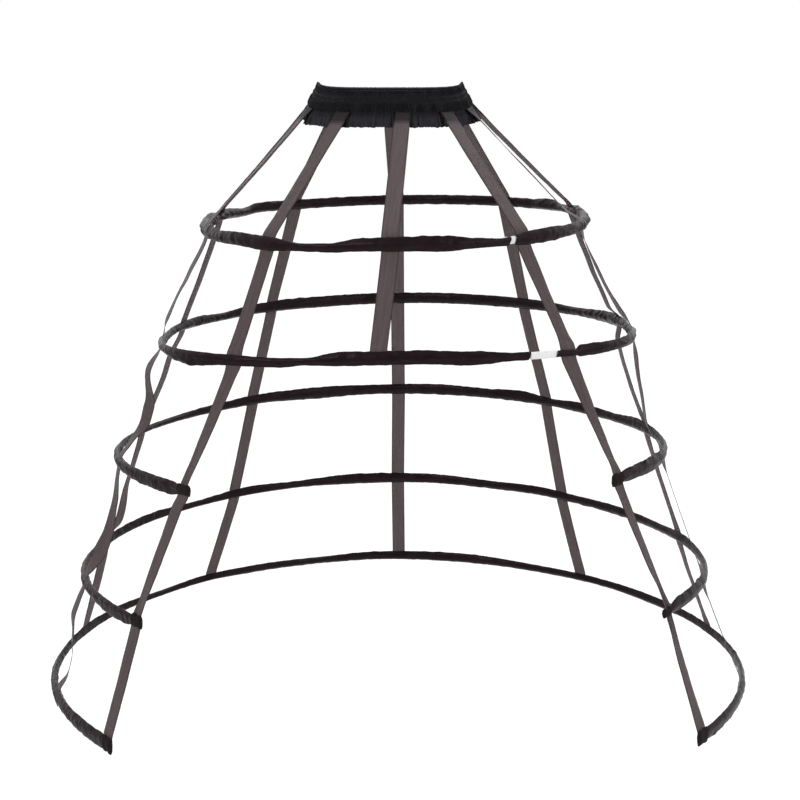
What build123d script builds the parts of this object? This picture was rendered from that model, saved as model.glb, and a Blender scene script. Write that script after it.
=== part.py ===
from build123d import *
from functools import lru_cache
import math
import os
import random

os.makedirs("parts", exist_ok=True)

# Millimetres. The origin is the centre of the waist opening, level with the top edge of the band
# at the two sides. Z is up, X is to the right as seen from the front, and the front faces -Y.
# An angle is in degrees round the cage, 0 at the centre front and growing towards +X.

# Waistband: cloth gathered over an elastic, with a frill below the lowest row of stitches
waist_half_width = 113.0
waist_half_depth = 85.0
band_height = 34.0
band_flare_width = 16.0
band_flare_depth = 13.0
band_wall = 4.6
front_dip = 14.0
back_dip = 8.0
dip_power = 2.5
gather_depth = 0.9
stitch_row_drop = 10.0
frill_height = 21.0
frill_flare = 9.0
frill_fold_depth = 3.2
frill_wall = 1.3
fold_count = 48

# Waist elastic, sealed inside the band
elastic_width = 25.0
elastic_thickness = 1.5
elastic_drop = 4.5
elastic_clearance = 0.15
elastic_segments = 40

# Flat bones, and the sleeves that join the ends of the two closed ones
bone_width = 7.0
bone_thickness = 1.2
bone_end_gap = 1.0
sleeve_length = 40.0
sleeve_width = 11.0
sleeve_wall = 0.9
fit_clearance = 0.15

# Casings: flat cloth tubes drawn over the bones, uneven in height where they pucker
casing_height = 19.0
casing_wall = 0.8
casing_bulge = 0.9
casing_hem = 1.3
longest_facet = 64.0

# Tapes: flat woven straps that pass through the casings, outside the bones
tape_width = 25.0
tape_thickness = 0.6
slot_clearance = 0.12
slot_end_clearance = 0.4
stub_length = 9.0
tape_end_inside = 3.5
bend_clearance = 1.5

# Wraps: cloth folded over the six free ends of hoops 3 to 5, with a tip on each bone inside
wrap_margin = 1.2
seat_gap = 0.2
wrap_height = [0.0, 0.0, 20.0, 23.0, 26.0]
wrap_wall = 0.9
wrap_bulge = 0.8
tip_length = 11.0
tip_wall = 0.4
tip_inset = 1.8

# Hoops, top to bottom: place, reach and lean of each
hoop_drop = [215.0, 391.0, 581.0, 775.0, 951.5]
hoop_centre_x = [7.0, 11.0, 1.0, 7.0, 13.0]
hoop_centre_y = [0.0, -6.0, 0.0, 0.0, 4.0]
hoop_half_width = [301.0, 368.0, 444.0, 509.0, 569.5]
hoop_front_depth = [315.0, 295.0, 428.0, 497.0, 594.0]
hoop_back_depth = [285.0, 402.0, 470.0, 528.0, 590.0]
hoop_front_corner = [0.02, 0.125, -0.06, -0.045, -0.053]
hoop_back_corner = [0.01, -0.045, -0.035, -0.028, -0.013]
hoop_pitch = [0.045, 0.0, 0.011, 0.013, 0.007]
hoop_roll = [0.019, 0.020, 0.009, 0.002, -0.002]
closed_hoops = [0, 1]

# Where each casing puckers: the angle, and how far it reaches above and below the hoop's line
casing_folds = [
    [(-150, 9, 8), (-130, 11.5, 6), (-122, 6, 9), (-114, 11, 7.5), (-102, 8, 7), (-75, 8, 7), (-56, 6.5, 7),
     (-48, 13.5, 7), (-37, 11, 9.5), (-25, 5, 7.5), (-18, 6, 8), (-8, 13, 6), (5, 14, 7), (14, 13.5, 9),
     (22, 9, 7), (29, 7, 7), (40, 12, 8.5), (48, 11.5, 8.5), (56, 7.5, 7.5), (72, 9, 7), (95, 8, 7),
     (113, 7, 6), (120, 13, 7), (130, 9, 8), (150, 9, 8)],
    [(-160, 12, 9), (-145, 14, 7), (-134, 12.5, 6), (-121, 6.5, 7.5), (-110, 10, 7.5), (-95, 7.5, 6),
     (-62, 8, 5.5), (-46, 8.5, 12.5), (-37, 8, 8), (-25, 5, 9), (-20, 5, 6), (-12, 13, 7.5), (5, 13, 7),
     (16, 10, 10), (26, 6, 6), (43, 10.5, 7), (52, 9, 6), (66, 11, 7), (85, 8, 8), (102, 10, 12),
     (120, 5, 10), (134, 9, 10), (150, 10, 10), (172, 11, 9.5)],
    [(-175, 9, 10.5), (-162, 11, 12.5), (-144, 12, 7), (-130, 8, 7), (-115, 5, 6.5), (-96, 8, 7.5),
     (-75, 6, 10.5), (-56, 8.5, 12), (60, 12, 8), (68, 13, 9.5), (86, 8, 8), (105, 13, 9.5), (116, 6.5, 10),
     (128, 10, 10), (136, 6.5, 8.5), (146, 13, 9.5), (156, 9, 10), (168, 11, 10.5)],
    [(-172, 12.5, 9.5), (-157, 8, 6.5), (-145, 12.5, 5.5), (-131, 7, 5.5), (-117, 12, 5.5), (-90, 7, 10),
     (-74, 7, 9), (-58, 7, 12), (60, 13, 7), (68, 14, 7), (86, 8, 9), (101, 11, 10), (111, 5.5, 11),
     (125, 8, 10.5), (136, 7, 10), (146, 9.5, 8.5), (158, 6.5, 10.5), (173, 11.5, 8.5)],
    [(-176, 10, 8.5), (-163, 5, 10), (-149, 7, 9), (-138, 9, 5.5), (-127, 5, 7), (-112, 11, 5.5),
     (-104, 13, 5.5), (-90, 9, 7), (-70, 9, 10), (-57, 11, 11), (60, 9, 10), (72, 10, 9), (92, 12, 7),
     (108, 10, 7), (122, 8.5, 10), (134, 7.5, 8), (150, 5.5, 10), (168, 10.5, 10)],
]

# Where the casing of a closed hoop parts, measured from the right front tape
casing_gap = [10.0, 41.0]
gap_from_tape = [14.0, 19.0]
neck_height = 9.6
neck_length = [0.0, 36.0]

# Angle of each tape at the band and at each hoop it reaches, top to bottom
tape_angles = {
    "front_centre": [9, -1, -4],
    "front_right": [42, 37, 37, 53.5, 56.5, 56],
    "side_front_right": [72, 68, 74, 77, 76, 78],
    "side_back_right": [100, 107, 98, 102, 103.5, 104.5],
    "back_right": [128, 141.5, 140, 138.4, 140.2, 140.5],
    "back_centre": [180, 179.5, 180, 178.5, 179.5, 180],
    "back_left": [-140, -145, -140, -142.7, -141.5, -139],
    "side_back_left": [-104, -108, -102.5, -104.5, -101, -103],
    "side_front_left": [-74, -70, -77, -76.5, -77, -74],
    "front_left": [-33, -36, -35, -46, -51, -52],
}

# How far each slack stretch of tape sags below a straight line, top to bottom
tape_sag = {
    "side_front_right": [2, 12, 12, 3, 3],
    "side_back_right": [2, 3, 8, 3, 3],
    "side_back_left": [2, 4, 2, 10, 3],
    "side_front_left": [2, 5, 8, 14, 5],
}
taut_sag = 1.5
stub_tapes = ["side_front_right", "side_front_left"]

# Sizes that follow from the ones above
hoop_count = len(hoop_drop)
facet_half = tape_width / 2 + wrap_margin
layer_thickness = bone_thickness + tape_thickness + 3 * fit_clearance
bone_offset = -layer_thickness / 2 + fit_clearance + bone_thickness / 2
tape_offset = layer_thickness / 2 - fit_clearance - tape_thickness / 2
sleeve_thickness = bone_thickness + 2 * fit_clearance + 2 * sleeve_wall
tip_thickness = bone_thickness + 2 * fit_clearance + 2 * tip_wall
tip_height = bone_width + 2 * fit_clearance + 2 * tip_wall
wrap_tape_offset = bone_offset + tip_thickness / 2 + fit_clearance + tape_thickness / 2
same_angle = math.cos(math.radians(0.02))
up = Vector(0, 0, 1)


def between(points, next_points):
    """Straight-sided faces from one section's corners to the next one's."""
    wires = [Wire.make_polygon(corners, close=True) for corners in (points, next_points)]
    return Face.make_surface_from_curves(*wires).faces()


def flat_between(points, next_points):
    """Flat triangles from one section to the next, split alike on opposite sides."""
    faces = []
    for near, far in enumerate([*range(1, len(points)), 0]):
        a, b, c, d = points[near], points[far], next_points[far], next_points[near]
        halves = [(a, b, c), (a, c, d)] if near < len(points) / 2 else [(a, b, d), (b, c, d)]
        faces += [Face(Wire.make_polygon(half, close=True)) for half in halves]
    return faces


def solid_from(faces):
    """Solid that a closed set of faces bounds."""
    solid = Solid(Shell(faces))
    return solid if solid.volume > 0 else Solid(solid.wrapped.Reversed())


def skin(sections, closed=False, span=between):
    """Solid with straight sides between neighbouring sections, each a list of corner points."""
    following = sections[1:] + sections[:1] if closed else sections[1:]
    faces = [face for pair in zip(sections, following) for face in span(*pair)]
    if not closed:
        faces += [Face(Wire.make_polygon(points, close=True)) for points in (sections[0], sections[-1])]
    return solid_from(faces)


def ellipse_point(half_width, half_depth, angle, drop):
    """Point on a level ellipse centred on the waist opening."""
    turn = math.radians(angle)
    return Vector(half_width * math.sin(turn), -half_depth * math.cos(turn), -drop)


def ellipse_outward(half_width, half_depth, angle):
    """Level direction that points straight out of the ellipse."""
    turn = math.radians(angle)
    return Vector(math.sin(turn) / half_width, -math.cos(turn) / half_depth, 0).normalized()


def band_dip(angle):
    """How far the whole band is drawn down at this angle: nothing at the sides."""
    face_on = math.cos(math.radians(angle))
    depth = front_dip if face_on > 0 else back_dip
    return depth * (1 - (1 - abs(face_on)) ** dip_power)


def band_point(angle, drop, offset):
    """Point on the flared band, a given distance outside its plain surface."""
    flare = drop / band_height
    half_width = waist_half_width + band_flare_width * min(flare, 1)
    half_depth = waist_half_depth + band_flare_depth * min(flare, 1)
    below = max(drop - band_height, 0) / frill_height
    outward = ellipse_outward(half_width, half_depth, angle)
    place = ellipse_point(half_width, half_depth, angle, drop + band_dip(angle))
    return place + outward * (offset + frill_flare * below)


def hoop_point(hoop, angle):
    """Point on a hoop's centre line."""
    turn = math.radians(angle)
    at_front = math.cos(turn) > 0
    depth = hoop_front_depth[hoop] if at_front else hoop_back_depth[hoop]
    corner = hoop_front_corner[hoop] if at_front else hoop_back_corner[hoop]
    reach = 1 + corner * math.sin(2 * turn) ** 2
    x = hoop_half_width[hoop] * reach * math.sin(turn)
    y = -depth * reach * math.cos(turn)
    z = y * hoop_pitch[hoop] + x * hoop_roll[hoop] - hoop_drop[hoop]
    return Vector(hoop_centre_x[hoop] + x, hoop_centre_y[hoop] + y, z)


def frame(along):
    """Outward and upward directions beside a line that runs this way."""
    outward = along.cross(up).normalized()
    return outward, outward.cross(along).normalized()


def hoop_frame(hoop, angle):
    """Place and directions of a section across a hoop: along, outward and up."""
    nudge = 0.25
    along = (hoop_point(hoop, angle + nudge) - hoop_point(hoop, angle - nudge)).normalized()
    outward, upward = frame(along)
    return hoop_point(hoop, angle), along, outward, upward


def walk(hoop, angle, length):
    """Angle reached by going this length along the hoop from the first angle."""
    steps = 12
    for _ in range(steps):
        nudge = 0.05
        speed = (hoop_point(hoop, angle + nudge) - hoop_point(hoop, angle - nudge)).length / (2 * nudge)
        angle += length / steps / speed
    return angle


def crossing(tape, hoop):
    """Angle at which a tape crosses a hoop, or None where it doesn't reach it."""
    angles = tape_angles[tape]
    return angles[hoop + 1] if hoop + 1 < len(angles) else None


@lru_cache(maxsize=None)
def facet(hoop, angle):
    """The flat stretch of a hoop where a tape crosses: its ends, middle and directions."""
    start = walk(hoop, angle, -facet_half)
    end = walk(hoop, angle, facet_half)
    first, last = hoop_point(hoop, start), hoop_point(hoop, end)
    along = (last - first).normalized()
    outward, upward = frame(along)
    return start, end, (first + last) / 2, along, outward, upward


@lru_cache(maxsize=None)
def layout(hoop):
    """Angles that bound the bone, the casing, the sleeve and the wraps of a hoop."""
    if hoop in closed_hoops:
        right = crossing("front_right", hoop)
        gap_end = walk(hoop, right, -gap_from_tape[hoop])
        gap_start = walk(hoop, gap_end, -casing_gap[hoop])
        sleeve_end = walk(hoop, gap_end, -slot_end_clearance)
        sleeve_start = walk(hoop, sleeve_end, -sleeve_length)
        sleeve_middle = walk(hoop, sleeve_end, -sleeve_length / 2)
        return {
            "casing": (gap_end, gap_start + 360),
            "bone": (walk(hoop, sleeve_middle, bone_end_gap / 2),
                     walk(hoop, sleeve_middle, -bone_end_gap / 2) + 360),
            "sleeve": (sleeve_start, sleeve_end),
            "pocket": walk(hoop, sleeve_start, -slot_end_clearance),
        }
    right_start, right_end = facet(hoop, crossing("front_right", hoop))[:2]
    left_start, left_end = facet(hoop, crossing("front_left", hoop) + 360)[:2]
    inset = tip_inset + tip_wall + fit_clearance
    return {
        "casing": (walk(hoop, right_end, seat_gap), walk(hoop, left_start, -seat_gap)),
        "bone": (walk(hoop, right_start, inset), walk(hoop, left_end, -inset)),
        "wraps": {"right": (right_start, right_end), "left": (left_end, left_start)},
    }


@lru_cache(maxsize=None)
def ring_angles(hoop):
    """Section angles all round a hoop: every facet's ends, and enough between to stay round."""
    plan = layout(hoop)
    marks = set()
    for tape in tape_angles:
        angle = crossing(tape, hoop)
        if angle is not None:
            marks |= set(facet(hoop, angle)[:2])
    marks |= {bound for name in ("casing", "bone") for bound in plan[name]}
    if hoop in closed_hoops:
        marks |= {*plan["sleeve"], plan["pocket"]}
    ring = sorted({round(mark % 360, 4) for mark in marks})
    spread = [mark + turn for turn in (-360, 0, 360) for mark in ring]
    angles = []
    for mark, next_mark in zip(spread, spread[1:]):
        span = (hoop_point(hoop, next_mark) - hoop_point(hoop, mark)).length
        pieces = max(1, math.ceil(span / longest_facet))
        angles += [mark + (next_mark - mark) * part / pieces for part in range(pieces)]
    return angles


def stations(hoop, start, end):
    """Section angles from start to end, both kept."""
    angles = ring_angles(hoop)
    edge = 0.02
    inside = [angle for angle in angles if start + edge < angle < end - edge]
    return [start] + inside + [end]


def section(hoop, angle, shape):
    """Corner points of a section across a hoop, from pairs of outward and upward distances."""
    place, _, outward, upward = hoop_frame(hoop, angle)
    return [place + outward * out + upward * rise for out, rise in shape]


def box_shape(thickness, height, offset=0.0):
    """Four corners of a flat section."""
    half, rise = thickness / 2, height / 2
    return [(offset - half, -rise), (offset + half, -rise), (offset + half, rise), (offset - half, rise)]


def pillow_shape(edge_half, middle_half, bottom, top, offset=0.0):
    """Six corners of a flattened tube: narrow at its two edges and full at the middle."""
    middle = (bottom + top) / 2
    return [(offset - edge_half, bottom), (offset + edge_half, bottom), (offset + middle_half, middle),
            (offset + edge_half, top), (offset - edge_half, top), (offset - middle_half, middle)]


def casing_edges(hoop, angle, start):
    """Heights of the lower and upper edge of a casing, eased from one fold to the next."""
    if hoop in closed_hoops and angle < walk(hoop, start, neck_length[hoop]) - 0.01:
        return -neck_height / 2, neck_height / 2
    turn = (angle + 180) % 360 - 180
    folds = casing_folds[hoop]
    before = max((fold for fold in folds if fold[0] <= turn), default=folds[-1])
    after = min((fold for fold in folds if fold[0] > turn), default=folds[0])
    share = ((turn - before[0]) % 360) / ((after[0] - before[0]) % 360)
    share *= share * (3 - 2 * share)
    rise, fall = (before[edge] * (1 - share) + after[edge] * share for edge in (1, 2))
    return -fall, rise


def tape_slot(hoop, angle, offset, low, high):
    """Upright slot for a tape between two heights."""
    _, _, middle, along, outward, upward = facet(hoop, angle)
    width = tape_width / 2 + slot_end_clearance
    half = tape_thickness / 2 + slot_clearance
    corners = [(-width, -half), (width, -half), (width, half), (-width, half)]
    levels = []
    for rise in (low, high):
        base = middle + outward * offset + upward * rise
        levels.append([base + along * run + outward * out for run, out in corners])
    return skin(levels)


def tape_bends(hoop, angle):
    """Heights, below and above the hoop's line, at which a tape is clear of the casing and may bend."""
    first = layout(hoop)["casing"][0]
    edges = [casing_edges(hoop, first + (mark - first) % 360, first) for mark in facet(hoop, angle)[:2]]
    return min(low for low, _ in edges) - bend_clearance, max(high for _, high in edges) + bend_clearance


def last_hoop(tape):
    """Index of the lowest hoop that a tape reaches."""
    return len(tape_angles[tape]) - 2


def make_bone(hoop):
    """Flat spring strip along the whole hoop."""
    start, end = layout(hoop)["bone"]
    shape = box_shape(bone_thickness, bone_width, bone_offset)
    return skin([section(hoop, angle, shape) for angle in stations(hoop, start, end)])


def make_sleeve(hoop):
    """Flat tube pushed over both ends of a closed bone."""
    start, end = layout(hoop)["sleeve"]
    angles = stations(hoop, start, end)
    half, rise = sleeve_thickness / 2, sleeve_width / 2
    outside = pillow_shape(half * 0.6, half, -rise, rise, bone_offset)
    inside = box_shape(bone_thickness + 2 * fit_clearance, bone_width + 2 * fit_clearance, bone_offset)
    body = skin([section(hoop, angle, outside) for angle in angles])
    longer = stations(hoop, walk(hoop, start, -1), walk(hoop, end, 1))
    return body - skin([section(hoop, angle, inside) for angle in longer])


def casing_walls(hoop, angle):
    """Corner points of a casing's outside and of its hollow at one angle."""
    plan = layout(hoop)
    low, high = casing_edges(hoop, angle, plan["casing"][0])
    covers_sleeve = hoop in closed_hoops and casing_gap[hoop] < sleeve_length
    swollen = covers_sleeve and angle > plan["pocket"] + 360 - 0.01
    room = layer_thickness / 2 + ((sleeve_thickness - bone_thickness) / 2 + fit_clearance if swollen else 0.0)
    hem = casing_hem if high - low > neck_height + 1 else (high - low - bone_width) / 2 - fit_clearance
    edge_half = room + casing_wall
    outside = pillow_shape(edge_half, edge_half + casing_bulge, low, high)
    hollow = [(-room, low + hem), (room, low + hem), (room, high - hem), (-room, high - hem)]
    return section(hoop, angle, outside), section(hoop, angle, hollow)


def slotted_faces(hoop, tape, faces):
    """Outside and hollow faces of one flat stretch of casing after a tape's slot is cut through."""
    angle = crossing(tape, hoop)
    _, _, middle, along, _, _ = facet(hoop, angle)
    through = last_hoop(tape) > hoop or tape in stub_tapes
    slot = tape_slot(hoop, angle, tape_offset, -casing_height if through else 0.0, casing_height)
    reach = (facet_half + tape_width / 2 + slot_end_clearance) / 2
    return [face for face in (solid_from(faces) - slot).faces()
            if abs((face.center() - middle).dot(along)) < reach]


def ring_face(outside, hollow):
    """Flat end of a tube between its outside and its hollow."""
    return Face(Wire.make_polygon(outside, close=True), [Wire.make_polygon(hollow, close=True)])


def make_casing(hoop):
    """Cloth tube over a bone, with a slot wherever a tape passes through its edges."""
    slots = {}
    for tape in tape_angles:
        angle = crossing(tape, hoop)
        wrapped = hoop not in closed_hoops and tape in ("front_left", "front_right")
        if angle is not None and not wrapped:
            slots[tape] = facet(hoop, angle)[0]
    angles = stations(hoop, *layout(hoop)["casing"])
    walls = [casing_walls(hoop, angle) for angle in angles]
    faces = [ring_face(*walls[0]), ring_face(*walls[-1])]
    for angle, wall, next_wall in zip(angles, walls, walls[1:]):
        sides = between(wall[0], next_wall[0]) + between(wall[1], next_wall[1])
        for tape, slot_start in slots.items():
            if math.cos(math.radians(angle - slot_start)) > same_angle:
                sides = slotted_faces(hoop, tape, sides + [ring_face(*wall), ring_face(*next_wall)])
        faces += sides
    return solid_from(faces)


def make_wrap(hoop, side):
    """Folded cloth over a free end: closed outside, open to the casing, slotted for the tape."""
    plan = layout(hoop)
    outer_angle, inner_angle = plan["wraps"][side]
    _, _, middle, along, outward, upward = facet(hoop, crossing("front_" + side, hoop))
    if side == "left":
        along = -along
    depth = wrap_tape_offset + tape_thickness / 2 + slot_clearance + wrap_wall
    back = bone_offset - tip_thickness / 2 - fit_clearance - wrap_wall
    offset = (depth + back) / 2
    edge_half = (depth - back) / 2
    half_length, rise = facet_half, wrap_height[hoop] / 2
    shape = pillow_shape(edge_half, edge_half + wrap_bulge, -rise, rise, offset)
    ends = []
    for run in (-half_length, half_length):
        ends.append([middle + along * run + outward * out + upward * lift for out, lift in shape])
    body = skin(ends)
    channel = box_shape(tip_thickness + 2 * fit_clearance, tip_height + 2 * fit_clearance, bone_offset)
    cut = []
    for run in (-half_length + tip_inset - fit_clearance, half_length + 1):
        cut.append([middle + along * run + outward * out + upward * lift for out, lift in channel])
    through = last_hoop("front_" + side) > hoop
    low = -2 * rise if through else casing_hem - rise
    slot = tape_slot(hoop, crossing("front_" + side, hoop), wrap_tape_offset, low, 2 * rise)
    return body - [skin(cut), slot]


def make_tip(hoop, side):
    """Cap crimped on the end of an open bone."""
    _, _, middle, along, outward, upward = facet(hoop, crossing("front_" + side, hoop))
    if side == "left":
        along = -along
    start = -facet_half + tip_inset

    def level(run, shape):
        return [middle + along * run + outward * out + upward * rise for out, rise in shape]

    outside = box_shape(tip_thickness, tip_height, bone_offset)
    inside = box_shape(bone_thickness + 2 * fit_clearance, bone_width + 2 * fit_clearance, bone_offset)
    body = skin([level(start, outside), level(start + tip_length, outside)])
    return body - skin([level(start + tip_wall, inside), level(start + tip_length + 1, inside)])


def tape_section(centre, across, through):
    """Corner points of a tape's section from the directions of its width and thickness."""
    half, thick = tape_width / 2, tape_thickness / 2
    return [centre - across * half - through * thick, centre + across * half - through * thick,
            centre + across * half + through * thick, centre - across * half + through * thick]


def make_tape(tape):
    """Strap from the band's lowest stitches, through each casing it meets, to its last hoop."""
    waist_angle = tape_angles[tape][0]
    seam_out = ellipse_outward(waist_half_width + band_flare_width,
                               waist_half_depth + band_flare_depth, waist_angle)
    lift = fit_clearance + tape_thickness
    seam = band_point(waist_angle, band_height, lift)
    seam_along = (band_point(waist_angle + 1, band_height, lift) - seam).normalized()
    stops = [(seam, seam_along, seam_out)]
    sections = []
    end_hoop = last_hoop(tape)
    sags = tape_sag.get(tape, [taut_sag] * hoop_count)
    for hoop in range(end_hoop + 1):
        _, _, middle, along, outward, upward = facet(hoop, crossing(tape, hoop))
        wrapped = hoop not in closed_hoops and tape in ("front_left", "front_right")
        centre = middle + outward * (wrap_tape_offset if wrapped else tape_offset)
        if wrapped:
            high = wrap_height[hoop] / 2 + bend_clearance
            low = -high
        else:
            low, high = tape_bends(hoop, crossing(tape, hoop))
        above = centre + upward * high
        sections += tape_span(stops[-1], (above, along, outward), sags[hoop])
        if hoop == end_hoop:
            low = casing_hem + slot_end_clearance + bend_clearance - high if wrapped else -tape_end_inside
            if tape in stub_tapes:
                low = -casing_height / 2 - stub_length
        stops.append((centre + upward * low, along, outward))
    sections.append(tape_section(*stops[-1]))
    return skin(sections, span=flat_between)


def tape_span(upper, lower, sag):
    """Sections from one stop to the next, both ends kept, with the middle hanging a little lower."""
    (start, start_across, start_through), (end, end_across, end_through) = upper, lower
    if start_across.dot(end_across) < 0:
        start_across = -start_across
    inner = [0.2, 0.4, 0.6, 0.8] if sag > 5 else [0.5]
    sections = [tape_section(start, start_across, start_through)]
    path = (end - start).normalized()
    for part in inner:
        centre = start + (end - start) * part - up * (4 * sag * part * (1 - part))
        across = (start_across * (1 - part) + end_across * part).normalized()
        across = (across - path * across.dot(path)).normalized()
        through = across.cross(path).normalized()
        if through.dot(end_through) < 0:
            through = -through
        sections.append(tape_section(centre, across, through))
    sections.append(tape_section(end, end_across, end_through))
    return sections


def band_levels(angle, sign, strength):
    """Corner points across the band and frill at one angle, where sign says crest or groove."""
    ripple = sign * gather_depth * strength
    half_row = (stitch_row_drop + band_height) / 2
    hem = band_height + frill_height + 1.2 * ripple
    fold = sign * frill_fold_depth * strength
    outside = [(0.0, 0.4 * ripple), (stitch_row_drop / 2, 1.0 + ripple), (stitch_row_drop, 0.3 * ripple),
               (half_row, 1.6 + ripple), (band_height, 0.0), (hem, fold)]
    inside = [(hem, fold - frill_wall), (band_height + 3.0, -frill_wall - 1.0), (band_height - 3.0, -band_wall),
              (0.0, -band_wall)]
    return [band_point(angle, drop, offset) for drop, offset in outside + inside]


def make_waistband():
    """Gathered band with its frill, hollow where the elastic lies."""
    chance = random.Random(3)
    count = 2 * fold_count
    sections = []
    for number in range(count):
        sign = 1 if number % 2 else -1
        angle = 360 * (number + 0.3 * chance.uniform(-1, 1)) / count
        sections.append(band_levels(angle, sign, chance.uniform(0.4, 1.2)))
    return skin(sections, closed=True) - elastic_ring(elastic_clearance)


def elastic_ring(grow):
    """Flat ring that follows the band's flare, grown by a clearance on every side."""
    inner = -band_wall / 2 - elastic_thickness / 2 - grow
    outer = -band_wall / 2 + elastic_thickness / 2 + grow
    top, bottom = elastic_drop - grow, elastic_drop + elastic_width + grow
    corners = [(top, inner), (bottom, inner), (bottom, outer), (top, outer)]
    sections = []
    for number in range(elastic_segments):
        angle = 360 * number / elastic_segments
        sections.append([band_point(angle, drop, offset) for drop, offset in corners])
    return skin(sections, closed=True)


def save(shape, node):
    """Write one piece to its own file."""
    export_step(shape, "parts/" + node + ".step")


save(make_waistband(), "waistband")
save(elastic_ring(0.0), "waist_elastic")
for hoop in range(hoop_count):
    number = str(hoop + 1)
    save(make_bone(hoop), "hoop_bone_" + number)
    save(make_casing(hoop), "hoop_casing_" + number)
    if hoop in closed_hoops:
        save(make_sleeve(hoop), "bone_sleeve_" + number)
    else:
        for side in ("left", "right"):
            save(make_wrap(hoop, side), "end_wrap_" + number + "_" + side)
            save(make_tip(hoop, side), "bone_tip_" + number + "_" + side)
for tape in tape_angles:
    save(make_tape(tape), "tape_" + tape)
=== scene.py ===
# %% [markdown]
# # A crinoline cage
#
# A crinoline cage is an underskirt that holds a wide dress out. Five flat spring bones, each in
# a gathered cloth tube, hang from a waistband on ten woven tapes. The three lower hoops are open
# at the front, so that the wearer can step into the cage. The solids from the CAD source carry
# every size. Blender adds what cloth does: puckers, folds, sag, weave and sheen.

# %% Load the solids that every piece is built on
import math

import bmesh
import bpy
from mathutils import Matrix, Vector, noise


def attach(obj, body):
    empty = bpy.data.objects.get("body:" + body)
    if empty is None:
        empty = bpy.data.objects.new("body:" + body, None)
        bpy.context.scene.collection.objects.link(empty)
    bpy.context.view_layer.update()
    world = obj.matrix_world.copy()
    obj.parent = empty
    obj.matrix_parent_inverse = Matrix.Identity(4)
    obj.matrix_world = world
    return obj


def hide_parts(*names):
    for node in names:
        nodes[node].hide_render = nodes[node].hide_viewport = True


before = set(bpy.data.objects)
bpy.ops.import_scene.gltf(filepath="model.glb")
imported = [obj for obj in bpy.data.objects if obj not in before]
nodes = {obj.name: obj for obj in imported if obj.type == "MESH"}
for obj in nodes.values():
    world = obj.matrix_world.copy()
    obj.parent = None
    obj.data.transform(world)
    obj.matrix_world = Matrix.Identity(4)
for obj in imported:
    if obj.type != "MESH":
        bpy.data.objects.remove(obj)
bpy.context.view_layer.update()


def rounded(numbers):
    """Numbers to three places, for printing."""
    return [round(number, 3) for number in numbers]


# %% [markdown]
# ## Lines that the cloth follows
#
# Everything on a cage hangs from its hoops, so the hoops come first. One could draw each hoop as
# a curve by hand. A formula with a few named sizes is better, because the casings, the tapes and
# the wraps all ask it for places and meet by themselves. Each hoop is an oval with a depth of its
# own in front and behind, corners that swell or flatten, and a slight pitch and roll. The sizes
# are those of the CAD source, in millimetres, and become metres in `hoop_point`.

# %% Sizes of the hoops, top to bottom
mm = 0.001
hoop_drop = [215.0, 391.0, 581.0, 775.0, 951.5]
hoop_centre_x = [7.0, 11.0, 1.0, 7.0, 13.0]
hoop_centre_y = [0.0, -6.0, 0.0, 0.0, 4.0]
hoop_half_width = [301.0, 368.0, 444.0, 509.0, 569.5]
hoop_front_depth = [315.0, 295.0, 428.0, 497.0, 594.0]
hoop_back_depth = [285.0, 402.0, 470.0, 528.0, 590.0]
hoop_front_corner = [0.02, 0.125, -0.06, -0.045, -0.053]
hoop_back_corner = [0.01, -0.045, -0.035, -0.028, -0.013]
hoop_pitch = [0.045, 0.0, 0.011, 0.013, 0.007]
hoop_roll = [0.019, 0.020, 0.009, 0.002, -0.002]
closed_hoops = [0, 1]
up = Vector((0, 0, 1))
print("hoops:", len(hoop_drop))

# %% Place and directions anywhere on a hoop
def hoop_point(hoop, angle):
    """Point on a hoop's centre line; the angle is 0 at the centre front and grows to the right."""
    turn = math.radians(angle)
    at_front = math.cos(turn) > 0
    depth = hoop_front_depth[hoop] if at_front else hoop_back_depth[hoop]
    corner = hoop_front_corner[hoop] if at_front else hoop_back_corner[hoop]
    reach = 1 + corner * math.sin(2 * turn) ** 2
    x = hoop_half_width[hoop] * reach * math.sin(turn)
    y = -depth * reach * math.cos(turn)
    z = y * hoop_pitch[hoop] + x * hoop_roll[hoop] - hoop_drop[hoop]
    return Vector((hoop_centre_x[hoop] + x, hoop_centre_y[hoop] + y, z)) * mm


def hoop_frame(hoop, angle):
    """Place on a hoop and the directions along it, outwards and upwards."""
    nudge = 0.25  # degrees
    along = (hoop_point(hoop, angle + nudge) - hoop_point(hoop, angle - nudge)).normalized()
    outward = along.cross(up).normalized()
    return hoop_point(hoop, angle), along, outward, outward.cross(along).normalized()


walk_step = 6 * mm


def walk(hoop, angle, length):
    """Angle reached by going this many metres along the hoop."""
    steps = max(1, round(abs(length) / walk_step))
    for _ in range(steps):
        nudge = 0.05  # degrees
        speed = (hoop_point(hoop, angle + nudge) - hoop_point(hoop, angle - nudge)).length / (2 * nudge)
        angle += length / steps / speed
    return angle


def stations(hoop, start, end, spacing):
    """Angles from start to end, about one spacing apart along the hoop."""
    angles = [start]
    while angles[-1] < end:
        angles.append(walk(hoop, angles[-1], spacing))
    return angles[:-1] + [end]


print("lowest hoop is", round((hoop_point(4, 90) - hoop_point(4, -90)).length, 3), "m across")

# %% [markdown]
# ## Where the tapes run
#
# Each woven tape starts on the lowest stitches of the band and crosses the hoops at angles read
# from the real cage. They aren't evenly spread: a cage shifts as it hangs. The table gives the
# angle at the band and then at each hoop that the tape reaches.

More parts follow.
